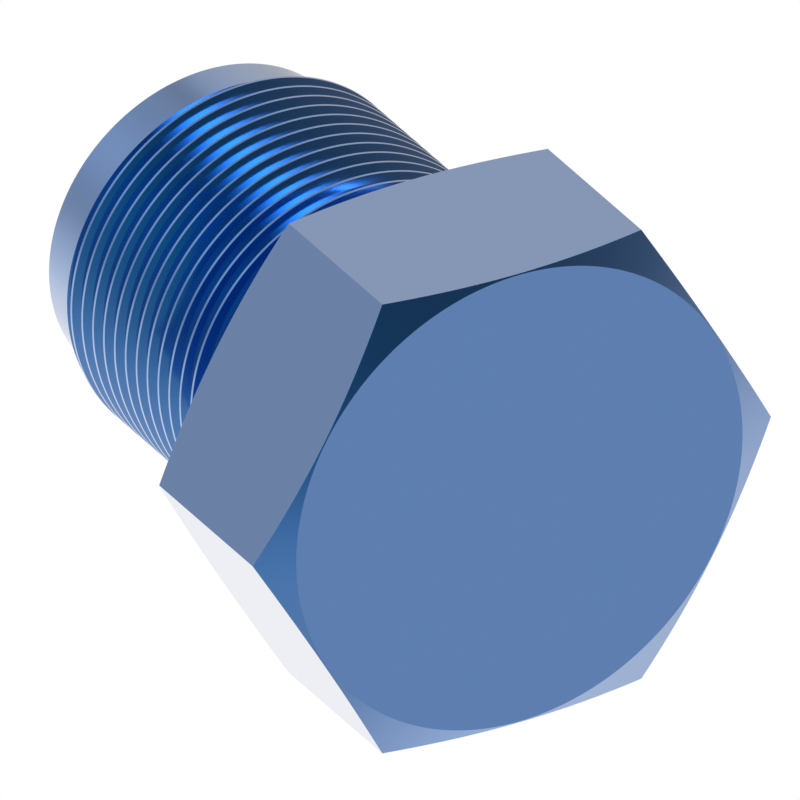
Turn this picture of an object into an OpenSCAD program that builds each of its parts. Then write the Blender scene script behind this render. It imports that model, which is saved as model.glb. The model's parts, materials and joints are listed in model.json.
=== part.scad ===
// Flare plug: a solid hexagon-headed plug that closes one end of a flared tube line.
// It stands on its hexagon head. The origin is the centre of the head's outer face,
// +Z runs along the thread towards the nose, and +X points at a corner of the hexagon.
// All lengths are in millimetres and all angles in degrees.

/* [Hexagon head] */
// Distance across the flats of the hexagon
hex_af = 14.24; // [13:0.01:20]
// Height of the head, from its outer face to the shoulder
head_h = 5.97; // [4:0.01:12]
// Distance from each flat in to the circle that the chamfer leaves on both end faces
face_inset = 0.04; // [0:0.01:1]
// Angle between the chamfer and the end face
chamfer_angle = 20; // [5:0.5:40]

/* [Thread] */
// Diameter over the thread's crests
thread_d = 11.11; // [10:0.01:12]
// Height that the single thread climbs in one turn
thread_pitch = 0.5975; // [0.5:0.0025:1.5]
// Distance from the shoulder to the end of the thread at the nose
thread_reach = 9.83; // [6:0.01:30]
// Angle round the plug at which the crest line would meet the thread's nose end
runout_angle = 300; // [0:1:360]
// Angle between the plug's axis and the chamfer that leads into the thread at the nose
lead_in_angle = 45; // [30:1:60]
// Number of facets round the thread
thread_facets = 48; // [24:1:60]

/* [Neck under the head] */
// Length of the plain neck between the shoulder and the thread
neck_l = 2.0; // [0.3:0.1:4]
// Depth of the neck below the thread's root
neck_depth = 0.1; // [0.05:0.05:1]

/* [Nose] */
// Step down in radius from the thread's crest to the plain nose
nose_step = 0.58; // [0.5:0.01:2]
// Length of the plain cylinder between the thread and the seat
nose_l = 1.43; // [0.5:0.01:6]
// Angle of the flare seat from the plug's axis
seat_angle = 45; // [30:0.5:60]
// Diameter of the flat at the tip of the seat
tip_d = 4.7; // [2:0.1:7]

/* [Hidden] */
$fn = 180;

plug_blue = [0.27, 0.42, 0.66];
// Angle between the thread's flanks
sharp_v_angle = 60;
// Flat on the crest as a share of the pitch, and depth as a share of the sharp V's height
crest_share = 1 / 8;
depth_share = 17 / 24;
// Length by which a plain cylinder runs on inside the metal that it joins
merge = 0.3;
// A point of the thread closer than this to either end of it lies on that end
snap = 0.005;
// A chamfer is cut this far past the edge that it takes off
chamfer_margin = 0.1;

hex_corner_r = hex_af / 2 / cos(30);
face_circle_r = hex_af / 2 - face_inset;
chamfer_reach = hex_corner_r + chamfer_margin;
chamfer_h = (chamfer_reach - face_circle_r) * tan(chamfer_angle);

crest_r = thread_d / 2;
sharp_v_h = thread_pitch / 2 / tan(sharp_v_angle / 2);
thread_depth = sharp_v_h * depth_share;
root_r = crest_r - thread_depth;
neck_r = root_r - neck_depth;
blank_r = crest_r + chamfer_margin;
lead_in_h = (blank_r - neck_r) / tan(lead_in_angle);

thread_low = head_h + neck_l;
thread_top = head_h + thread_reach;
nose_r = crest_r - nose_step;
seat_low = thread_top + nose_l;
seat_h = (nose_r - tip_d / 2) / tan(seat_angle);

// One pitch of the thread's outline: both edges of the crest, then both edges of the root
half_crest = thread_pitch * crest_share / 2;
flank_h = thread_depth * tan(sharp_v_angle / 2);
edge_z = [-half_crest, half_crest, half_crest + flank_h, thread_pitch - half_crest - flank_h];
edge_r = [crest_r, crest_r, root_r, root_r];
edges = len(edge_z);

// Rows of points follow the outline's edges up the helix, and columns stand round the axis
turns = ceil((thread_top - thread_low) / thread_pitch) + 2;
rows = edges * (turns + 3);
columns = thread_facets;

function column_angle(column) = 360 * column / columns;

function row_turn(row, column) =
    floor(row / edges) - turns + (column_angle(column) - runout_angle) / 360;

function row_z(row, column) =
    thread_top + thread_pitch * row_turn(row, column) + edge_z[row % edges];

function row_r(row) = edge_r[row % edges];

// Radius of the outline where a column passes height z, on its way up from a row
function radius_at(z, row, column) =
    let (low = row_z(row, column), high = row_z(row + 1, column))
    let (share = min(max((z - low) / (high - low), 0), 1))
    row_r(row) + share * (row_r(row + 1) - row_r(row));

function rows_below(z, column) =
    len([for (row = [0 : rows - 1]) if (row_z(row, column) <= z) row]);

// Last row at or under the thread's low end, and first row at or over its top
low_row = [for (column = [0 : columns - 1]) rows_below(thread_low + snap, column) - 1];
top_row = [for (column = [0 : columns - 1]) rows_below(thread_top - snap, column)];

function round_point(r, z, column) =
    [r * cos(column_angle(column)), r * sin(column_angle(column)), z];

function thread_point(row, column) =
    row <= low_row[column]
        ? round_point(radius_at(thread_low, low_row[column], column), thread_low, column)
    : row >= top_row[column]
        ? round_point(radius_at(thread_top, top_row[column] - 1, column), thread_top, column)
    : round_point(row_r(row), row_z(row, column), column);

// Number of a point: rows past either end share that end's point, and a full turn is one pitch
function point_number(row, column) =
    column == columns
        ? point_number(row + edges, 0)
        : column * rows + min(max(row, low_row[column]), top_row[column]);

function is_triangle(face) = face[0] != face[1] && face[1] != face[2] && face[2] != face[0];

module hex_head() {
    color(plug_blue)
    intersection() {
        linear_extrude(head_h) circle(r = hex_corner_r, $fn = 6);
        rotate_extrude() polygon([
            [0, 0],
            [face_circle_r, 0],
            [chamfer_reach, chamfer_h],
            [chamfer_reach, head_h - chamfer_h],
            [face_circle_r, head_h],
            [0, head_h]
        ]);
    }
}

module neck() {
    color(plug_blue)
    translate([0, 0, head_h - merge])
    cylinder(h = neck_l + 2 * merge, r = neck_r);
}

module thread() {
    points = [
        for (column = [0 : columns - 1], row = [0 : rows - 1]) thread_point(row, column),
        [0, 0, thread_low],
        [0, 0, thread_top]
    ];
    low_centre = columns * rows;
    top_centre = low_centre + 1;
    faces = [
        for (column = [0 : columns - 1], row = [0 : rows - 2])
            let (a = point_number(row, column), b = point_number(row + 1, column))
            let (c = point_number(row + 1, column + 1), d = point_number(row, column + 1))
            for (face = [[a, b, c], [a, c, d]]) if (is_triangle(face)) face,
        for (column = [0 : columns - 1])
            [low_centre, point_number(0, column), point_number(0, (column + 1) % columns)],
        for (column = [0 : columns - 1])
            [top_centre, point_number(rows, (column + 1) % columns), point_number(rows, column)]
    ];
    polyhedron(points, faces, convexity = 10);
}

// The thread's blank: as deep as the neck at its nose end, and wider than the crests below that
module thread_blank() {
    rotate_extrude() polygon([
        [0, thread_low - merge],
        [blank_r, thread_low - merge],
        [blank_r, thread_top - lead_in_h],
        [neck_r - chamfer_margin, thread_top + chamfer_margin / tan(lead_in_angle)],
        [0, thread_top + chamfer_margin / tan(lead_in_angle)]
    ]);
}

module chamfered_thread() {
    color(plug_blue)
    intersection() {
        thread();
        thread_blank();
    }
}

module nose() {
    color(plug_blue)
    translate([0, 0, thread_top - merge])
    cylinder(h = nose_l + merge, r = nose_r);
}

module flare_seat() {
    color(plug_blue)
    translate([0, 0, seat_low])
    cylinder(h = seat_h, r1 = nose_r, r2 = tip_d / 2);
}

module flare_plug() {
    union() {
        hex_head();
        neck();
        chamfered_thread();
        nose();
        flare_seat();
    }
}

flare_plug();
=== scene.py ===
"""Flare plug: the finish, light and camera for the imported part.

The plug is one turned piece of anodised aluminium, so one closed skin stands for
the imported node. The skin is a profile carried round the thread's axis: the rows
of the profile run from the middle of the hexagon's outer face, over the head, up
the neck and the helical thread, to the middle of the seat's tip. Sizes are in
millimetres and angles in degrees until the points are handed to Blender, which
works in metres.
"""

from __future__ import annotations

import json
import logging
from dataclasses import dataclass, field
from enum import Enum

import bmesh
import bpy
import numpy as np
from mathutils import Matrix, Vector

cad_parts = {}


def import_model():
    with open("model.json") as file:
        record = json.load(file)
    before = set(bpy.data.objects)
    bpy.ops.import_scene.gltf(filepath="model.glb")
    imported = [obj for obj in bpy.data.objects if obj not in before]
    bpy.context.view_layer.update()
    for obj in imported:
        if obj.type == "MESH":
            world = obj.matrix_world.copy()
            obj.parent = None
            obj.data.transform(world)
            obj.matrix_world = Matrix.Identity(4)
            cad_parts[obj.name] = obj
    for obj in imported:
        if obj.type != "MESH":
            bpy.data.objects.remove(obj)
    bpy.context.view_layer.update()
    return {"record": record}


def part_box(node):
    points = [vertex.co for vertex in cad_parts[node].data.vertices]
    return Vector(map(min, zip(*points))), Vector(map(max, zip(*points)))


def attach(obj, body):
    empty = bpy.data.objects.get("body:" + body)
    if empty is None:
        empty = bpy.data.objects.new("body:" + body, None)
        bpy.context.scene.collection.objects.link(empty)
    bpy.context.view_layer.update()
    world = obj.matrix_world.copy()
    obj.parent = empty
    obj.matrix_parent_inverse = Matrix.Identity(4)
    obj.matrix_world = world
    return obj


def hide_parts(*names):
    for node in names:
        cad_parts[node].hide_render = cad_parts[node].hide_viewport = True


log = logging.getLogger("flare_plug")

MM = 0.001
NODE = "flare_plug"

# Angle between two corners of the hexagon
SIXTH = 60
# A rounding takes at most this share of the shorter side next to its corner
SIDE_SHARE = 0.45
# Rounding of a corner that stays sharp: its radius and its number of facets
SHARP = (0, 0)


class Zone(Enum):
    """A stretch of the profile that one tool has cut, and its material slot."""

    TURNED = 0
    DRAWN = 1
    THREAD = 2


@dataclass(frozen=True)
class Rows:
    """Some rows of the skin, low end first.

    Attributes:
        radius: Distance of each point from the axis, shape (rows, columns).
        height: Height of each point, same shape.
        zone: Zone of the faces that start at these rows.
    """

    radius: np.ndarray
    height: np.ndarray
    zone: Zone


def eased_corner(
    before: np.ndarray, corner: np.ndarray, after: np.ndarray, ease: float, steps: int
) -> np.ndarray:
    """Rounds one corner of a profile in every column at once.

    The two tangent points lie at the same distance from the corner, which is the
    ease's radius divided by the tangent of half the corner's inner angle, and no
    more than SIDE_SHARE of the shorter side. Between them runs the quadratic curve
    (1 - s)^2 A + 2 s (1 - s) C + s^2 B with the corner C as its control point.

    Args:
        before: Point of the profile before the corner, shape (columns, 2).
        corner: The corner itself, same shape.
        after: Point of the profile after the corner, same shape.
        ease: Radius of the rounding in millimetres.
        steps: Number of facets across the rounding.

    Returns:
        The points of the rounding, shape (steps + 1, columns, 2).
    """
    back, onward = before - corner, after - corner
    back_l = np.linalg.norm(back, axis=1, keepdims=True)
    onward_l = np.linalg.norm(onward, axis=1, keepdims=True)
    back, onward = back / back_l, onward / onward_l
    cosine = np.clip((back * onward).sum(axis=1, keepdims=True), -1, 1)
    reach = ease / np.tan(np.arccos(cosine) / 2)
    reach = np.minimum(reach, SIDE_SHARE * np.minimum(back_l, onward_l))
    share = np.linspace(0, 1, steps + 1)[:, None, None]
    low, high = corner + reach * back, corner + reach * onward
    return (1 - share) ** 2 * low + 2 * share * (1 - share) * corner + share**2 * high


def eased_profile(points: list[np.ndarray], eases: list[tuple[float, int]]) -> np.ndarray:
    """Rounds the inner corners of a profile.

    Args:
        points: Corners of the profile, each of shape (columns, 2) as radius and height.
        eases: Radius and number of facets for each corner but the first and the last.

    Returns:
        All rows from the first point to the last, shape (rows, columns, 2).
    """
    rows = [points[0][None]]
    for place, (ease, steps) in enumerate(eases, start=1):
        corner = points[place]
        if steps:
            rows.append(eased_corner(points[place - 1], corner, points[place + 1], ease, steps))
        else:
            rows.append(corner[None])
    rows.append(points[-1][None])
    return np.concatenate(rows)


@dataclass(frozen=True)
class Columns:
    """The angles at which the skin has a column of points.

    Each sixth of the turn has even columns, and a few more that round the
    hexagon's upright edge.

    Attributes:
        even: Number of even columns between the roundings of two upright edges.
        edge_shares: Places of the columns on a rounding, as shares of its half angle.
    """

    even: int = 38
    edge_shares: tuple[float, ...] = (-1, -1 / 3, 1 / 3, 1)

    def angles(self, edge_half_angle: float) -> np.ndarray:
        """Returns the angles of a whole turn, with the first one again at the end.

        Args:
            edge_half_angle: Half the angle that the rounding of an upright edge takes up.

        Returns:
            The angles in degrees, rising from the end of the first edge's rounding.
        """
        flat = np.linspace(edge_half_angle, SIXTH - edge_half_angle, self.even + 2)[:-1]
        edge = SIXTH + edge_half_angle * np.array(self.edge_shares[:-1])
        sixth = np.concatenate([flat, edge])
        turn = (SIXTH * np.arange(360 // SIXTH)[:, None] + sixth).ravel()
        return np.append(turn, turn[0] + 360)


@dataclass
class HexHead:
    """The chamfered hexagon that a wrench turns.

    Attributes:
        corner_r: Distance of its sharp corners from the axis.
        height: Height from the outer face to the shoulder.
        face_inset: Distance from each flat in to the circle that the chamfer leaves.
        chamfer_angle: Angle between the chamfer and the end face.
        edge_ease: Radius of the roundings along the chamfer.
        circle_steps: Number of facets across the rounding next to an end face.
        arch_steps: Number of facets across the rounding next to a flat.
        upright_ease: Radius of the six upright edges.
        arc_share: Share of a rounding's half angle up to which a column lies on it.
        flat_margin: Width of the ring of faces inside each end face's circle.
    """

    corner_r: float
    height: float
    face_inset: float = 0.04
    chamfer_angle: float = 20
    edge_ease: float = 0.006
    circle_steps: int = 2
    arch_steps: int = 3
    upright_ease: float = 0.016
    arc_share: float = 0.999
    flat_margin: float = 0.06

    @property
    def half_flats(self) -> float:
        """Half the distance across the flats."""
        return self.corner_r * np.cos(np.radians(SIXTH / 2))

    @property
    def face_r(self) -> float:
        """Radius of the circle that the chamfer leaves on each end face."""
        return self.half_flats - self.face_inset

    @property
    def upright_reach(self) -> float:
        """Distance from the sharp corner to where its rounding meets the flat."""
        return self.upright_ease * np.tan(np.radians(SIXTH / 2))

    @property
    def edge_half_angle(self) -> float:
        """Half the angle that the rounding of an upright edge takes up."""
        along = self.corner_r - self.upright_reach * np.cos(np.radians(SIXTH))
        aside = self.upright_reach * np.sin(np.radians(SIXTH))
        return float(np.degrees(np.arctan2(aside, along)))

    def outline(self, angles: np.ndarray) -> np.ndarray:
        """Radius of the hexagon at each angle.

        On a flat it is the half width over the flats divided by the cosine of the
        angle from the flat's middle. On a corner it is where the ray meets the
        rounding circle, c cos(a) + sqrt(e^2 - c^2 sin(a)^2), with c the distance of
        that circle's centre and a the angle from the corner.

        Args:
            angles: Angles in degrees, with a corner at zero.

        Returns:
            The radii in millimetres.
        """
        half = SIXTH / 2
        off_corner = np.radians((angles + half) % SIXTH - half)
        off_middle = np.radians(angles % SIXTH - half)
        flat = self.half_flats / np.cos(off_middle)
        centre = self.corner_r - self.upright_ease / np.cos(np.radians(half))
        under = np.maximum(self.upright_ease**2 - (centre * np.sin(off_corner)) ** 2, 0)
        arc = centre * np.cos(off_corner) + np.sqrt(under)
        on_arc = np.abs(np.degrees(off_corner)) < self.edge_half_angle * self.arc_share
        return np.where(on_arc, arc, flat)

    def rows(self, angles: np.ndarray, neck_r: float) -> list[Rows]:
        """Builds the head from the middle of its outer face to the foot of the neck.

        Args:
            angles: Angles of the columns in degrees.
            neck_r: Radius of the neck that rises from the shoulder.

        Returns:
            The turned end, the drawn flats and the turned shoulder.
        """
        side = self.outline(angles)
        drop = (side - self.face_r) * np.tan(np.radians(self.chamfer_angle))
        inner_r = self.face_r - self.flat_margin
        level = np.zeros_like(side)
        corners = [
            np.stack([level, level], axis=1),
            np.stack([level + inner_r, level], axis=1),
            np.stack([level + self.face_r, level], axis=1),
            np.stack([side, drop], axis=1),
            np.stack([side, self.height - drop], axis=1),
            np.stack([level + self.face_r, level + self.height], axis=1),
            np.stack([level + inner_r, level + self.height], axis=1),
            np.stack([level + neck_r, level + self.height], axis=1),
        ]
        circle, arch = (self.edge_ease, self.circle_steps), (self.edge_ease, self.arch_steps)
        turned_end = eased_profile(corners[:5], [SHARP, circle, arch])[:-1]
        shoulder = eased_profile(corners[3:], [arch, circle, SHARP])[1:]
        parts = [
            (turned_end[:-1], Zone.TURNED),
            (turned_end[-1:], Zone.DRAWN),
            (shoulder, Zone.TURNED),
        ]
        return [Rows(part[..., 0], part[..., 1], zone) for part, zone in parts]


@dataclass
class ThreadedShank:
    """The helical thread, cut off square at both ends, with a chamfer that leads into it.

    Attributes:
        crest_r: Radius of the crests.
        low: Height of the thread's end towards the head.
        top: Height of its end towards the nose.
        pitch: Height that it climbs in one turn.
        runout_angle: Angle at which the middle of a crest meets the nose end.
        lead_in_angle: Angle between the plug's axis and the chamfer at the nose end.
        neck_gap: Depth of the neck below the thread's root.
        flank_angle: Angle between a flank and the plane square to the axis.
        crest_share: Width of the crest as a share of the pitch.
        depth_share: Depth as a share of the sharp V's height.
        crest_lean: Angle by which the crest leans towards the head.
        crest_ease: Radius of the crest's edges.
        root_ease: Radius of the root's corners.
        ease_steps: Number of facets across each rounding.
        turns_under: Whole turns laid out past the low end, for the end to cut off.
        turns_over: The same past the top end.
    """

    crest_r: float
    low: float
    top: float
    pitch: float = 0.5975
    runout_angle: float = 300
    lead_in_angle: float = 45
    neck_gap: float = 0.1
    flank_angle: float = 30
    crest_share: float = 1 / 8
    depth_share: float = 17 / 24
    crest_lean: float = 6
    crest_ease: float = 0.008
    root_ease: float = 0.03
    ease_steps: int = 3
    turns_under: int = 2
    turns_over: int = 3

    @property
    def depth(self) -> float:
        """Depth of the thread, a share of the sharp V's height."""
        return self.depth_share * self.pitch / 2 / np.tan(np.radians(self.flank_angle))

    @property
    def root_r(self) -> float:
        """Radius of the thread's root."""
        return self.crest_r - self.depth

    @property
    def neck_r(self) -> float:
        """Radius of the neck, and of the chamfer's small end."""
        return self.root_r - self.neck_gap

    def outline(self) -> tuple[np.ndarray, np.ndarray]:
        """One pitch of the thread's outline, from the middle of one crest to the next.

        The crest leans a little, so that its side towards the head is the lower one.

        Returns:
            Heights above the first crest's middle, and the radius at each of them.
        """
        crest = self.pitch * self.crest_share / 2
        flank = self.depth * np.tan(np.radians(self.flank_angle))
        lean = crest * np.tan(np.radians(self.crest_lean))
        low_r, middle_r = self.crest_r - 2 * lean, self.crest_r - lean
        radii = [middle_r, self.crest_r, self.root_r, self.root_r, low_r, middle_r]
        heights = [0, crest, crest + flank, self.pitch - crest - flank, self.pitch - crest, self.pitch]
        corners = [np.array([[radius, height]]) for radius, height in zip(radii, heights)]
        eases = [self.crest_ease, self.root_ease, self.root_ease, self.crest_ease]
        rows = eased_profile(corners, [(ease, self.ease_steps) for ease in eases])[:, 0]
        return rows[:, 1], rows[:, 0]

    def lead_in(self, height: np.ndarray) -> np.ndarray:
        """Radius of the chamfer at each height: a cone that narrows to the neck's radius at the top."""
        return self.neck_r + (self.top - height) * np.tan(np.radians(self.lead_in_angle))

    def rows(self, angles: np.ndarray) -> list[Rows]:
        """Builds the thread, each row following one line of the outline up the helix.

        The outline repeats each pitch up the axis and climbs by one pitch a turn, so
        the radius at a height is the outline's at that height less the column's climb,
        or the chamfer's where that is smaller. Between every two lines lies one more
        row, at the height where the straight from one to the other meets the chamfer,
        z = (n + t h + m z0 - r0) / (m + t). Here n is the neck's radius, h the thread's
        top, t the chamfer's slope, m the straight's slope, and r0, z0 its lower end.
        Where they don't meet it is held on the nearer line. Rows that would leave the
        thread's ends are held on them. Points that fall together are merged later.

        Args:
            angles: Angles of the columns in degrees.

        Returns:
            The one run of rows.
        """
        heights, radii = self.outline()
        below = int(np.ceil((self.top - self.low) / self.pitch)) + self.turns_under
        turns = np.arange(-below, self.turns_over)
        climb = self.top + self.pitch * (angles - self.runout_angle) / 360
        base = (self.pitch * turns[:, None] + heights[:-1]).ravel()[:, None] + climb
        step = np.tile(np.diff(heights), len(turns))[:, None]
        slope = np.tile(np.diff(radii) / np.diff(heights), len(turns))[:, None]
        radius = np.tile(radii[:-1], len(turns))[:, None]
        taper = np.tan(np.radians(self.lead_in_angle))
        meeting = (self.neck_r + taper * self.top + slope * base - radius) / (slope + taper)
        meeting = np.clip(meeting, base, base + step)
        height = np.stack([base, meeting], axis=1).reshape(-1, len(angles))
        height = np.clip(height, self.low, self.top)
        plain = np.interp((height - climb) % self.pitch, heights, radii)
        return [Rows(np.minimum(plain, self.lead_in(height)), height, Zone.THREAD)]


@dataclass
class Nose:
    """The plain nose with the conical seat that meets the flare.

    Attributes:
        radius: Radius of the plain nose.
        low: Height of its foot, at the thread's end.
        seat_low: Height where the seat starts.
        tip: Height of the flat at the tip.
        seat_angle: Angle between the seat and the plug's axis.
        edge_ease: Radius of the edge between the nose and the seat.
        edge_steps: Number of facets across that edge.
        tip_ease: Radius of the edge round the tip.
        tip_steps: Number of facets across that edge.
    """

    radius: float
    low: float
    seat_low: float
    tip: float
    seat_angle: float = 45
    edge_ease: float = 0.03
    edge_steps: int = 3
    tip_ease: float = 0.08
    tip_steps: int = 4

    def rows(self, angles: np.ndarray) -> list[Rows]:
        """Builds the nose from the thread's end to the middle of the seat's tip.

        Args:
            angles: Angles of the columns in degrees.

        Returns:
            The one run of rows.
        """
        tip_r = self.radius - (self.tip - self.seat_low) * np.tan(np.radians(self.seat_angle))
        profile = [(self.radius, self.low), (self.radius, self.seat_low), (tip_r, self.tip), (0, self.tip)]
        corners = [np.tile(np.array(point, float), (len(angles), 1)) for point in profile]
        eases = [(self.edge_ease, self.edge_steps), (self.tip_ease, self.tip_steps)]
        rows = eased_profile(corners, eases)
        return [Rows(rows[..., 0], rows[..., 1], Zone.TURNED)]


def wall_span(mount: dict) -> tuple[float, float]:
    """Finds how far up the axis a mount's round wall reaches.

    Args:
        mount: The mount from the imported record, placed at the middle of its wall.

    Returns:
        The heights at which the wall starts and ends, in millimetres.
    """
    middle = mount["pos_m"][2] / MM
    half = mount["dims"]["length_mm"] / 2
    return middle - half, middle + half


@dataclass
class FlarePlug:
    """The whole plug, as one closed skin.

    Attributes:
        head: The hexagon.
        shank: The thread.
        nose: The nose with the seat.
        columns: The angles at which the skin has points.
        merge_gap: Points closer than this are merged.
        sharp_angle: Most that two faces may turn from each other and still share a normal.
        most_faces: Most faces that are looked at round one point.
        own_share: What a corner's own face adds to its normal, so that none is zero.
    """

    head: HexHead
    shank: ThreadedShank
    nose: Nose
    columns: Columns = field(default_factory=Columns)
    merge_gap: float = 1e-5
    sharp_angle: float = 32
    most_faces: int = 8
    own_share: float = 1e-3

    @classmethod
    def from_frame(cls, record: dict) -> FlarePlug:
        """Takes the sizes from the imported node's box and the record's mounts.

        Args:
            record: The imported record.

        Returns:
            The plug, in millimetres.
        """
        low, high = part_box(NODE)
        mounts = {mount["name"]: mount for mount in record["mounts"]}
        thread, pilot, hexagon = mounts["thread"], mounts["nose_pilot"], mounts["wrench_hex"]
        thread_low, thread_top = wall_span(thread)
        nose_low, seat_low = wall_span(pilot)
        head = HexHead(corner_r=(high.x - low.x) / 2 / MM, height=2 * hexagon["pos_m"][2] / MM)
        shank = ThreadedShank(crest_r=thread["dims"]["r_mm"], low=thread_low, top=thread_top)
        nose = Nose(radius=pilot["dims"]["r_mm"], low=nose_low, seat_low=seat_low, tip=high.z / MM)
        return cls(head, shank, nose)

    def grid(self) -> tuple[np.ndarray, np.ndarray]:
        """Stacks the rows of every part.

        Returns:
            The points in metres, shape (rows, columns, 3), and each row's zone.
        """
        angles = self.columns.angles(self.head.edge_half_angle)
        neck = np.full((1, len(angles)), self.shank.neck_r)
        parts = [
            *self.head.rows(angles, self.shank.neck_r),
            Rows(neck, np.full_like(neck, self.shank.low), Zone.TURNED),
            *self.shank.rows(angles),
            *self.nose.rows(angles),
        ]
        radius = np.concatenate([part.radius for part in parts])
        height = np.concatenate([part.height for part in parts])
        zones = np.concatenate([np.full(len(part.radius), part.zone.value) for part in parts])
        turn = np.radians(angles % 360)
        points = np.stack([radius * np.cos(turn), radius * np.sin(turn), height], axis=2)
        return points * MM, zones

    def build(self, finishes: list[bpy.types.Material]) -> bpy.types.Object:
        """Makes the skin as a mesh object.

        Every four neighbours of the grid are one face, seen anticlockwise from
        outside. Points that fall together at the poles, the seam and the thread's
        ends are then merged, which closes the skin.

        Args:
            finishes: The materials, in the order of the zones.

        Returns:
            The object, at the origin.
        """
        points, zones = self.grid()
        rows, columns = points.shape[:2]
        row, column = np.meshgrid(np.arange(rows - 1), np.arange(columns - 1), indexing="ij")
        corner = row * columns + column
        faces = np.stack([corner, corner + 1, corner + columns + 1, corner + columns], axis=2).reshape(-1, 4)
        mesh = bpy.data.meshes.new("flare_plug_skin")
        mesh.from_pydata(points.reshape(-1, 3).tolist(), [], faces.tolist())
        for finish in finishes:
            mesh.materials.append(finish)
        slots = np.repeat(zones[:-1], columns - 1).astype(np.int32)
        mesh.polygons.foreach_set("material_index", slots)
        mesh.polygons.foreach_set("use_smooth", np.ones(len(faces), dtype=bool))
        skin = bmesh.new()
        skin.from_mesh(mesh)
        bmesh.ops.remove_doubles(skin, verts=skin.verts, dist=self.merge_gap * MM)
        bmesh.ops.dissolve_degenerate(skin, dist=self.merge_gap * MM, edges=skin.edges)
        skin.to_mesh(mesh)
        skin.free()
        self.shade(mesh)
        plug = bpy.data.objects.new("flare_plug_body", mesh)
        bpy.context.scene.collection.objects.link(plug)
        return plug

    def shade(self, mesh: bpy.types.Mesh) -> None:
        """Gives every corner of a face the normal that its large neighbours share.

        A corner's normal is the mean of the normals of the faces that meet at its
        point and lie within the sharp angle of its own face, each weighted by the
        square of its area. So the flats and flanks mirror as true planes up to the
        narrow roundings between them, and the roundings turn from one to the other.

        Args:
            mesh: The skin, which gets the normals.
        """
        faces, corners = len(mesh.polygons), len(mesh.loops)
        normal, area = np.empty(3 * faces), np.empty(faces)
        point, sides = np.empty(corners, dtype=np.int32), np.empty(faces, dtype=np.int32)
        mesh.polygons.foreach_get("normal", normal)
        mesh.polygons.foreach_get("area", area)
        mesh.polygons.foreach_get("loop_total", sides)
        mesh.loops.foreach_get("vertex_index", point)
        normal, face = normal.reshape(-1, 3), np.repeat(np.arange(faces), sides)
        order = np.argsort(point, kind="stable")
        met = point[order]
        rank = np.arange(corners) - np.searchsorted(met, met)
        table = np.full((len(mesh.vertices), self.most_faces), -1)
        kept = rank < self.most_faces
        table[met[kept], rank[kept]] = face[order][kept]
        around = table[point]
        cosine = np.einsum("cfx,cx->cf", normal[around], normal[face])
        alike = (around >= 0) & (cosine > np.cos(np.radians(self.sharp_angle)))
        weight = np.where(alike, area[around] ** 2, 0)
        mean = np.einsum("cf,cfx->cx", weight, normal[around])
        mean += self.own_share * area[face, None] ** 2 * normal[face]
        mean /= np.linalg.norm(mean, axis=1, keepdims=True)
        mesh.normals_split_custom_set(mean.tolist())


def feed(tree: bpy.types.NodeTree, socket: bpy.types.NodeSocket, value: bpy.types.NodeSocket | float) -> None:
    """Gives an input its value.

    Args:
        tree: The node tree.
        socket: The input.
        value: A socket to link to it, or a number to set.
    """
    if isinstance(value, bpy.types.NodeSocket):
        tree.links.new(value, socket)
    else:
        socket.default_value = value


def math_node(
    tree: bpy.types.NodeTree, operation: str, *values: bpy.types.NodeSocket | float
) -> bpy.types.NodeSocket:
    """Adds a Math node.

    Args:
        tree: The node tree.
        operation: The node's operation.
        values: A socket or a number for each input in turn.

    Returns:
        The node's output.
    """
    node = tree.nodes.new("ShaderNodeMath")
    node.operation = operation
    for socket, value in zip(node.inputs, values):
        feed(tree, socket, value)
    return node.outputs[0]


def dot_node(tree: bpy.types.NodeTree, vector: bpy.types.NodeSocket, along: Vector) -> bpy.types.NodeSocket:
    """Adds a Dot Product node.

    Args:
        tree: The node tree.
        vector: Socket with the vector that is measured.
        along: The fixed direction that it is measured along.

    Returns:
        The node's output.
    """
    node = tree.nodes.new("ShaderNodeVectorMath")
    node.operation = "DOT_PRODUCT"
    tree.links.new(vector, node.inputs[0])
    node.inputs[1].default_value = along
    return node.outputs["Value"]


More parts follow.
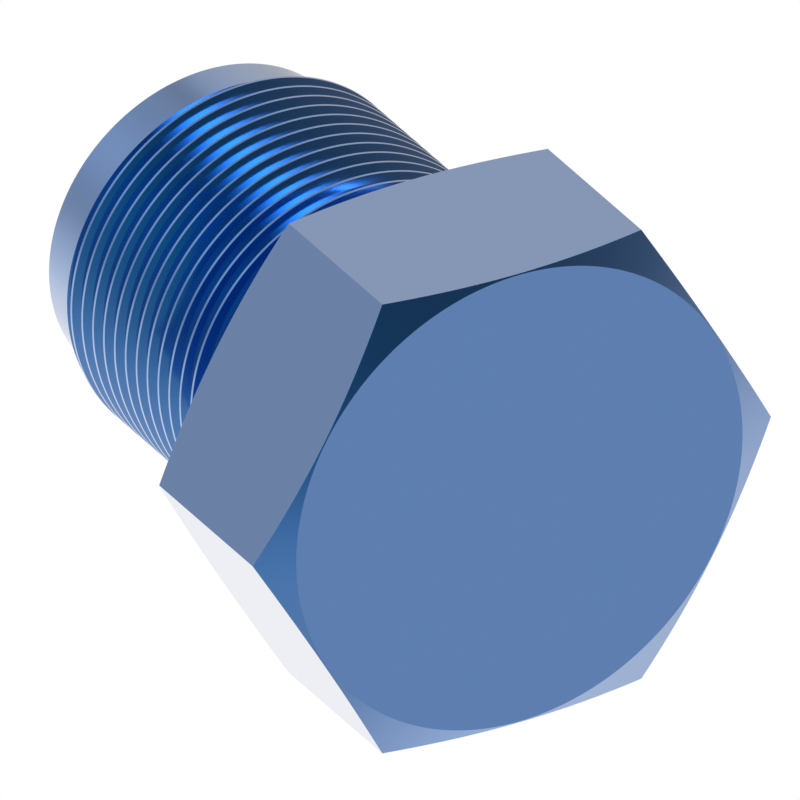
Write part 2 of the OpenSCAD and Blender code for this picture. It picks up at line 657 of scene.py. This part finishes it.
@dataclass
class SurfaceEffects:
    """The node groups that the finishes share. Each puts out values that change over the surface.

    Attributes:
        mark_detail: Number of finer layers in the noise of the tool marks.
        mark_roughness: Strength of each of those layers against the one before.
        noise_middle: Level that a noise swings about.
        cloud_detail: Number of finer layers in the noise of the dye's clouds.
        cloud_layers: How much finer each size of cloud is, and its share of the whole.
        tool_marks: The group with the lines that a tool leaves.
        dye_clouds: The group with the clouds that a dye bath leaves.
    """

    mark_detail: float = 3
    mark_roughness: float = 0.6
    noise_middle: float = 0.5
    cloud_detail: float = 2
    cloud_layers: tuple[tuple[float, float], ...] = ((1.0, 0.7), (7.0, 0.3))
    tool_marks: bpy.types.NodeTree = field(init=False)
    dye_clouds: bpy.types.NodeTree = field(init=False)

    def __post_init__(self) -> None:
        """Builds both groups once."""
        self.tool_marks = self.build_tool_marks()
        self.dye_clouds = self.build_dye_clouds()

    @staticmethod
    def new_group(name: str, inputs: dict[str, float], outputs: tuple[str, ...]) -> bpy.types.NodeTree:
        """Starts a node group.

        Args:
            name: Name of the group.
            inputs: Each input's name and usual value.
            outputs: Names of the outputs, all values.

        Returns:
            The group, with its two end nodes.
        """
        group = bpy.data.node_groups.new(name, "ShaderNodeTree")
        for title, value in inputs.items():
            socket = group.interface.new_socket(title, in_out="INPUT", socket_type="NodeSocketFloat")
            socket.default_value = value
        for title in outputs:
            group.interface.new_socket(title, in_out="OUTPUT", socket_type="NodeSocketFloat")
        group.nodes.new("NodeGroupInput").name = "start"
        group.nodes.new("NodeGroupOutput").name = "end"
        return group

    def build_tool_marks(self) -> bpy.types.NodeTree:
        """Builds the lines that a tool leaves, as noise stretched along its path.

        The noise is read at four coordinates: the distance from the axis times Radial,
        the height times Axial, and X and Y times Around. The lengths are in millimetres,
        and each input is a number of lines per millimetre. A finish sets Radial for a
        lathe's rings on a face, Axial for rings on a side, and Around for lines drawn
        along the bar.

        Returns:
            The group, with the lines' Height and a Wear for the roughness, both near 0.
        """
        inputs = {"Radial": 0.0, "Axial": 0.0, "Around": 0.0}
        group = self.new_group("tool_marks", inputs, ("Height", "Wear"))
        start, end = group.nodes["start"], group.nodes["end"]
        place = group.nodes.new("ShaderNodeTexCoord")
        split = group.nodes.new("ShaderNodeSeparateXYZ")
        group.links.new(place.outputs["Object"], split.inputs[0])
        across = math_node(group, "MULTIPLY", split.outputs["X"], split.outputs["X"])
        square = math_node(group, "MULTIPLY_ADD", split.outputs["Y"], split.outputs["Y"], across)
        radius = math_node(group, "SQRT", square)
        lines = group.nodes.new("ShaderNodeCombineXYZ")
        noise = group.nodes.new("ShaderNodeTexNoise")
        noise.noise_dimensions = "4D"
        noise.inputs["Scale"].default_value = 1
        noise.inputs["Detail"].default_value = self.mark_detail
        noise.inputs["Roughness"].default_value = self.mark_roughness
        for length, title, socket in (
            (radius, "Radial", lines.inputs["X"]),
            (split.outputs["Z"], "Axial", lines.inputs["Y"]),
            (split.outputs["X"], "Around", lines.inputs["Z"]),
            (split.outputs["Y"], "Around", noise.inputs["W"]),
        ):
            counted = math_node(group, "MULTIPLY", length, start.outputs[title])
            group.links.new(math_node(group, "MULTIPLY", counted, 1 / MM), socket)
        group.links.new(lines.outputs[0], noise.inputs["Vector"])
        level = math_node(group, "SUBTRACT", noise.outputs["Fac"], self.noise_middle)
        group.links.new(level, end.inputs["Height"])
        group.links.new(math_node(group, "ABSOLUTE", level), end.inputs["Wear"])
        return group

    def build_dye_clouds(self) -> bpy.types.NodeTree:
        """Builds the faint clouds that a dye bath leaves, as two sizes of noise added up.

        Returns:
            The group, with one Depth from 0 to 1.
        """
        group = self.new_group("dye_clouds", {"Size": 2.0}, ("Depth",))
        start, end = group.nodes["start"], group.nodes["end"]
        place = group.nodes.new("ShaderNodeTexCoord")
        scale = math_node(group, "DIVIDE", 1 / MM, start.outputs["Size"])
        total: bpy.types.NodeSocket | None = None
        for finer, share in self.cloud_layers:
            noise = group.nodes.new("ShaderNodeTexNoise")
            noise.inputs["Detail"].default_value = self.cloud_detail
            group.links.new(place.outputs["Object"], noise.inputs["Vector"])
            group.links.new(math_node(group, "MULTIPLY", scale, finer), noise.inputs["Scale"])
            part = math_node(group, "MULTIPLY", noise.outputs["Fac"], share)
            total = part if total is None else math_node(group, "ADD", total, part)
        group.links.new(total, end.inputs["Depth"])
        return group


@dataclass(frozen=True)
class AnodisedFinish:
    """Dyed and sealed aluminium, as one tool leaves it.

    Attributes:
        name: Name of the material.
        lines: Tool lines per millimetre along the radius, up the axis, and along X and Y.
        line_depth: Height of the tool lines in millimetres.
        wear: How much rougher the tool lines make it.
        roughness: Lowest roughness.
        dye: Colour of the metal seen square on, where the dye is thin.
        deep_dye: The same where the dye is deep.
        film: Colour of the sealed film's gloss, which takes over at a low angle.
        film_blend: How early it does so: at a half, by one less the angle's cosine.
        cloud_size: Size of the dye's clouds in millimetres.
    """

    name: str
    lines: tuple[float, float, float]
    line_depth: float
    wear: float
    roughness: float = 0.11
    dye: tuple[float, float, float] = (0.010, 0.33, 1.0)
    deep_dye: tuple[float, float, float] = (0.006, 0.31, 1.0)
    film: tuple[float, float, float] = (1.0, 1.0, 1.0)
    film_blend: float = 0.5
    cloud_size: float = 2.5

    def material(self, effects: SurfaceEffects) -> bpy.types.Material:
        """Builds the material: dyed metal square on, and the film's clear gloss at a low angle.

        Args:
            effects: The shared node groups.

        Returns:
            The new material.
        """
        material = bpy.data.materials.new(self.name)
        material.use_nodes = True
        tree = material.node_tree
        tree.nodes.clear()
        marks = tree.nodes.new("ShaderNodeGroup")
        marks.node_tree = effects.tool_marks
        for title, value in zip(("Radial", "Axial", "Around"), self.lines):
            marks.inputs[title].default_value = value
        clouds = tree.nodes.new("ShaderNodeGroup")
        clouds.node_tree = effects.dye_clouds
        clouds.inputs["Size"].default_value = self.cloud_size
        bump = tree.nodes.new("ShaderNodeBump")
        bump.inputs["Distance"].default_value = self.line_depth * MM
        tree.links.new(marks.outputs["Height"], bump.inputs["Height"])
        roughness = math_node(tree, "MULTIPLY_ADD", marks.outputs["Wear"], self.wear, self.roughness)
        colour = tree.nodes.new("ShaderNodeMix")
        colour.data_type = "RGBA"
        colour.inputs["A"].default_value = (*self.dye, 1)
        colour.inputs["B"].default_value = (*self.deep_dye, 1)
        tree.links.new(clouds.outputs["Depth"], colour.inputs["Factor"])
        metal = tree.nodes.new("ShaderNodeBsdfPrincipled")
        film = tree.nodes.new("ShaderNodeBsdfPrincipled")
        film.inputs["Base Color"].default_value = (*self.film, 1)
        tree.links.new(colour.outputs["Result"], metal.inputs["Base Color"])
        for shader in (metal, film):
            shader.inputs["Metallic"].default_value = 1
            tree.links.new(roughness, shader.inputs["Roughness"])
            tree.links.new(bump.outputs["Normal"], shader.inputs["Normal"])
        angle = tree.nodes.new("ShaderNodeLayerWeight")
        angle.inputs["Blend"].default_value = self.film_blend
        mix = tree.nodes.new("ShaderNodeMixShader")
        out = tree.nodes.new("ShaderNodeOutputMaterial")
        tree.links.new(angle.outputs["Facing"], mix.inputs[0])
        tree.links.new(metal.outputs[0], mix.inputs[1])
        tree.links.new(film.outputs[0], mix.inputs[2])
        tree.links.new(mix.outputs[0], out.inputs["Surface"])
        return material


@dataclass(frozen=True)
class SoftLight:
    """One round soft light of the studio that the metal mirrors.

    Attributes:
        name: What it is.
        towards: Direction from the plug to the light, in the plug's own frame.
        tightness: How fast it fades away from its middle.
        strength: Brightness at its middle, below zero for a dark gap.
    """

    name: str
    towards: tuple[float, float, float]
    tightness: float
    strength: float

    def glow(self, tree: bpy.types.NodeTree, way: bpy.types.NodeSocket) -> bpy.types.NodeSocket:
        """Adds the light to the world: strength times exp(tightness (cosine - 1)).

        The cosine is that of the angle between the ray and the light's middle.

        Args:
            tree: The world's node tree.
            way: Direction of the ray.

        Returns:
            The light's brightness.
        """
        cosine = dot_node(tree, way, Vector(self.towards).normalized())
        fade = math_node(tree, "MULTIPLY_ADD", cosine, self.tightness, -self.tightness)
        return math_node(tree, "MULTIPLY", math_node(tree, "EXPONENT", fade), self.strength)


@dataclass(frozen=True)
class StripLight:
    """The long soft light over the plug.

    Attributes:
        name: What it is.
        faces: Direction from the plug that stands square on the light's plane.
        across: Direction of the light's width.
        offset: The light's middle on its plane, across and along it.
        half_width: Half the width, as a share of the plane's distance.
        half_length: Half the length, as a share of the plane's distance.
        fall: Power of the fade's square: the lower it is, the wider the fade.
        swell: Brightness that the fade would climb to if it had no flat top.
        strength: Brightness of the flat top.
        least_cosine: Lowest cosine between a ray and the plane's direction that is
            divided by, so that a ray that misses the plane falls far outside the light.
    """

    name: str
    faces: tuple[float, float, float]
    across: tuple[float, float, float]
    offset: tuple[float, float]
    half_width: float
    half_length: float
    fall: float
    swell: float
    strength: float
    least_cosine: float = 0.001

    def glow(self, tree: bpy.types.NodeTree, way: bpy.types.NodeSocket) -> bpy.types.NodeSocket:
        """Adds the light to the world, as a soft ellipse on a plane that faces the plug.

        Where the ray meets that plane, q is (x / half width)^2 + (y / half length)^2,
        counted from the light's middle. The brightness is swell times exp(-q^fall),
        cut off flat at the strength.

        Args:
            tree: The world's node tree.
            way: Direction of the ray.

        Returns:
            The light's brightness.
        """
        ahead = Vector(self.faces).normalized()
        across = Vector(self.across)
        across = (across - across.dot(ahead) * ahead).normalized()
        reach = math_node(tree, "MAXIMUM", dot_node(tree, way, ahead), self.least_cosine)
        squares = []
        for direction, middle, half in (
            (across, self.offset[0], self.half_width),
            (ahead.cross(across), self.offset[1], self.half_length),
        ):
            place = math_node(tree, "DIVIDE", dot_node(tree, way, direction / half), reach)
            place = math_node(tree, "SUBTRACT", place, middle / half)
            squares.append(math_node(tree, "MULTIPLY", place, place))
        spread = math_node(tree, "POWER", math_node(tree, "ADD", *squares), self.fall)
        fade = math_node(tree, "EXPONENT", math_node(tree, "MULTIPLY", spread, -1.0))
        return math_node(tree, "MINIMUM", math_node(tree, "MULTIPLY", fade, self.swell), self.strength)


@dataclass
class Studio:
    """The light, the floor and the camera.

    Attributes:
        soft_lights: The round lights that the metal mirrors.
        strip: The long light that it mirrors.
        room_level: Brightness of the room between the lights.
        groove_bounce: Number of mirrorings past which a ray has come out of a groove.
        groove_share: Share of the light that is left to such a ray.
        bare_limit: Most that any other mirrored ray can see.
        plain_level: Brightness of the world to surfaces that don't mirror.
        lamp_power: Power of the lamp in watts.
        lamp_size: Diameter of the lamp in millimetres.
        lamp_place: Place of the lamp in millimetres.
        floor_r: Radius of the floor in millimetres.
        floor_sides: Number of sides of the floor's rim.
        floor_fade: Where the floor starts and ends to fade, as shares of its radius.
        floor_gap: Distance of the floor below the plug in millimetres.
        floor_colour: Colour of the floor.
        view_width: Width of the picture in millimetres.
        view_offset: Middle of the picture right of and above the focus, in millimetres.
        view_distance: Distance from the camera to the focus in millimetres.
        view_clip: Nearest and farthest distance that it shows, in millimetres.
        focus_height: Height of the focus on the plug's axis in millimetres.
        right: Direction of the picture's right side.
        up: Direction of the picture's top.
    """

    soft_lights: tuple[SoftLight, ...] = (
        SoftLight("wide light beside the plug", (-0.43, 0.86, 0.27), 2.9, 1.004),
        SoftLight("light on the tip's side", (0.55, -0.41, 0.72), 2.4, 0.395),
        SoftLight("light on the far side", (0.60, 0.66, -0.45), 13.5, 0.778),
        SoftLight("light from below", (-0.21, 0.51, -0.84), 20.4, 0.216),
        SoftLight("light beside the camera", (-0.81, -0.41, -0.42), 7.8, 0.886),
        SoftLight("white card beyond the tip", (0.26, 0.35, 0.90), 21.5, 1.15),
        SoftLight("light over the tip", (-0.58, -0.60, 0.55), 10.5, 0.372),
        SoftLight("low light over the tip", (-0.77, 0.25, 0.59), 60, 0.16),
        SoftLight("bright end of the strip", (0.443, -0.830, 0.338), 190, 6),
        SoftLight("dark gap beside the strip", (0.181, -0.635, 0.751), 120, -0.09),
    )
    strip: StripLight = StripLight(
        name="strip over the plug",
        faces=(0.25, -0.866, 0.433),
        across=(0.122, -0.416, -0.901),
        offset=(0.2106, -0.0844),
        half_width=0.084,
        half_length=0.28,
        fall=0.87,
        swell=28,
        strength=8.8,
    )
    room_level: float = 0.057
    groove_bounce: float = 1.5
    groove_share: float = 0.423
    bare_limit: float = 1.3
    plain_level: float = 0.75
    lamp_power: float = 0.02
    lamp_size: float = 90
    lamp_place: tuple[float, float, float] = (-60, -90, 140)
    floor_r: float = 70
    floor_sides: int = 96
    floor_fade: tuple[float, float] = (0.35, 0.98)
    floor_gap: float = 0.05
    floor_colour: tuple[float, float, float] = (0.8, 0.8, 0.8)
    view_width: float = 21.973
    view_offset: tuple[float, float] = (-3.071, 2.516)
    view_distance: float = 120
    view_clip: tuple[float, float] = (1, 10000)
    focus_height: float = 0.4155
    right: Vector = field(default_factory=lambda: Vector((0.866025, 0, -0.5)))
    up: Vector = field(default_factory=lambda: Vector((0.25, -0.866025, 0.433013)))

    def world(self) -> None:
        """Builds the world: white to the camera, a plain level to the floor, the studio to the metal.

        A ray that has met the metal twice comes out of a groove. The grooves are
        darker than the dye alone makes them, so only a share of the studio is left to
        it. A ray that has met the metal once is held under a limit, which keeps the
        edges calm.
        """
        world = bpy.data.worlds.new("pale_studio")
        bpy.context.scene.world = world
        world.use_nodes = True
        tree = world.node_tree
        tree.nodes.clear()
        way = tree.nodes.new("ShaderNodeTexCoord").outputs["Generated"]
        path = tree.nodes.new("ShaderNodeLightPath")
        lights = None
        for light in self.soft_lights:
            glow = light.glow(tree, way)
            lights = glow if lights is None else math_node(tree, "ADD", lights, glow)
        lights = math_node(tree, "ADD", lights, self.strip.glow(tree, way))
        lights = math_node(tree, "ADD", lights, self.room_level)
        deep = math_node(tree, "GREATER_THAN", path.outputs["Glossy Depth"], self.groove_bounce)
        bare = math_node(tree, "MINIMUM", lights, self.bare_limit)
        groove = math_node(tree, "MULTIPLY", lights, self.groove_share)
        seen = self.choose(tree, deep, bare, groove)
        seen = self.choose(tree, path.outputs["Is Diffuse Ray"], seen, self.plain_level)
        seen = self.choose(tree, path.outputs["Is Camera Ray"], seen, 1.0)
        studio = tree.nodes.new("ShaderNodeBackground")
        studio.inputs["Color"].default_value = (1, 1, 1, 1)
        tree.links.new(seen, studio.inputs["Strength"])
        out = tree.nodes.new("ShaderNodeOutputWorld")
        tree.links.new(studio.outputs[0], out.inputs["Surface"])

    @staticmethod
    def choose(
        tree: bpy.types.NodeTree,
        test: bpy.types.NodeSocket,
        otherwise: bpy.types.NodeSocket | float,
        then: bpy.types.NodeSocket | float,
    ) -> bpy.types.NodeSocket:
        """Adds a Mix node that picks one of two values.

        Args:
            tree: The node tree.
            test: Socket that is 0 or 1.
            otherwise: Value where the test is 0.
            then: Value where the test is 1.

        Returns:
            The value picked.
        """
        node = tree.nodes.new("ShaderNodeMix")
        tree.links.new(test, node.inputs["Factor"])
        feed(tree, node.inputs["A"], otherwise)
        feed(tree, node.inputs["B"], then)
        return node.outputs["Result"]

    def lamp(self) -> None:
        """Hangs the soft lamp that gives the plug its shadow on the floor."""
        data = bpy.data.lights.new("soft_lamp", "AREA")
        data.shape = "DISK"
        data.size = self.lamp_size * MM
        data.energy = self.lamp_power
        lamp = bpy.data.objects.new("soft_lamp", data)
        place = Vector(self.lamp_place) * MM
        turn = place.to_track_quat("Z", "Y").to_matrix().to_4x4()
        lamp.matrix_world = Matrix.Translation(place) @ turn
        lamp.visible_glossy = False
        bpy.context.scene.collection.objects.link(lamp)

    def floor(self) -> bpy.types.Object:
        """Lays a round pale floor under the plug.

        The camera of the photograph looks up through the floor, so its underside
        is clear. Its rim fades into the white behind it.

        Returns:
            The floor.
        """
        mesh = bpy.data.meshes.new("pale_floor")
        turn = np.linspace(0, 2 * np.pi, self.floor_sides, endpoint=False)
        reach, depth = self.floor_r * MM, -self.floor_gap * MM
        points = np.stack([reach * np.cos(turn), reach * np.sin(turn), np.full_like(turn, depth)], axis=1)
        mesh.from_pydata(points.tolist(), [], [list(range(len(turn)))])
        mesh.materials.append(self.floor_finish())
        floor = bpy.data.objects.new("pale_floor", mesh)
        floor.visible_glossy = False
        floor.visible_diffuse = False
        floor.visible_transmission = False
        floor.visible_shadow = False
        bpy.context.scene.collection.objects.link(floor)
        return floor

    def floor_finish(self) -> bpy.types.Material:
        """Builds the floor's paint, clear from below and towards the rim.

        Returns:
            The new material.
        """
        material = bpy.data.materials.new("pale_paint")
        material.use_nodes = True
        tree = material.node_tree
        tree.nodes.clear()
        place = tree.nodes.new("ShaderNodeTexCoord")
        length = tree.nodes.new("ShaderNodeVectorMath")
        length.operation = "LENGTH"
        tree.links.new(place.outputs["Object"], length.inputs[0])
        rim = tree.nodes.new("ShaderNodeMapRange")
        rim.interpolation_type = "SMOOTHSTEP"
        for end, share in zip(("From Min", "From Max"), self.floor_fade):
            rim.inputs[end].default_value = share * self.floor_r * MM
        tree.links.new(length.outputs["Value"], rim.inputs["Value"])
        side = tree.nodes.new("ShaderNodeNewGeometry")
        clear = math_node(tree, "MAXIMUM", rim.outputs["Result"], side.outputs["Backfacing"])
        paint = tree.nodes.new("ShaderNodeBsdfDiffuse")
        paint.inputs["Color"].default_value = (*self.floor_colour, 1)
        air = tree.nodes.new("ShaderNodeBsdfTransparent")
        mix = tree.nodes.new("ShaderNodeMixShader")
        out = tree.nodes.new("ShaderNodeOutputMaterial")
        tree.links.new(clear, mix.inputs[0])
        tree.links.new(paint.outputs[0], mix.inputs[1])
        tree.links.new(air.outputs[0], mix.inputs[2])
        tree.links.new(mix.outputs[0], out.inputs["Surface"])
        return material

    def camera(self) -> None:
        """Places the orthographic camera below and in front of the hexagon's outer face."""
        data = bpy.data.cameras.new("camera")
        data.type = "ORTHO"
        data.ortho_scale = self.view_width * MM
        data.clip_start, data.clip_end = (distance * MM for distance in self.view_clip)
        camera = bpy.data.objects.new("camera", data)
        back = self.right.cross(self.up)
        turn = Matrix((self.right, self.up, back)).transposed()
        place = Vector((0, 0, self.focus_height))
        place = place + self.view_offset[0] * self.right + self.view_offset[1] * self.up
        camera.matrix_world = Matrix.Translation((place + self.view_distance * back) * MM) @ turn.to_4x4()
        bpy.context.scene.collection.objects.link(camera)
        bpy.context.scene.camera = camera


def main() -> None:
    """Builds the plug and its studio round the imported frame."""
    logging.basicConfig(level=logging.INFO, format="%(name)s: %(message)s")
    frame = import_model()
    bpy.context.scene.view_settings.view_transform = "Standard"

    effects = SurfaceEffects()
    turned = AnodisedFinish("anodised_turned", lines=(14, 14, 0), line_depth=0.0004, wear=0.06)
    drawn = AnodisedFinish("anodised_drawn", lines=(0, 0.3, 16), line_depth=0.0003, wear=0.06)
    threaded = AnodisedFinish("anodised_thread", lines=(6, 6, 0), line_depth=0.0002, wear=0.04)
    finishes = [finish.material(effects) for finish in (turned, drawn, threaded)]
    plug = FlarePlug.from_frame(frame["record"])
    body = plug.build(finishes)
    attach(body, "root")
    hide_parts(NODE)
    log.info("%s: %d faces in %d finishes", body.name, len(body.data.polygons), len(finishes))

    studio = Studio()
    studio.world()
    studio.lamp()
    studio.camera()
    floor = studio.floor()
    log.info("%s: the floor, %.0f mm across", floor.name, 2 * studio.floor_r)


if __name__ == "__main__":
    main()
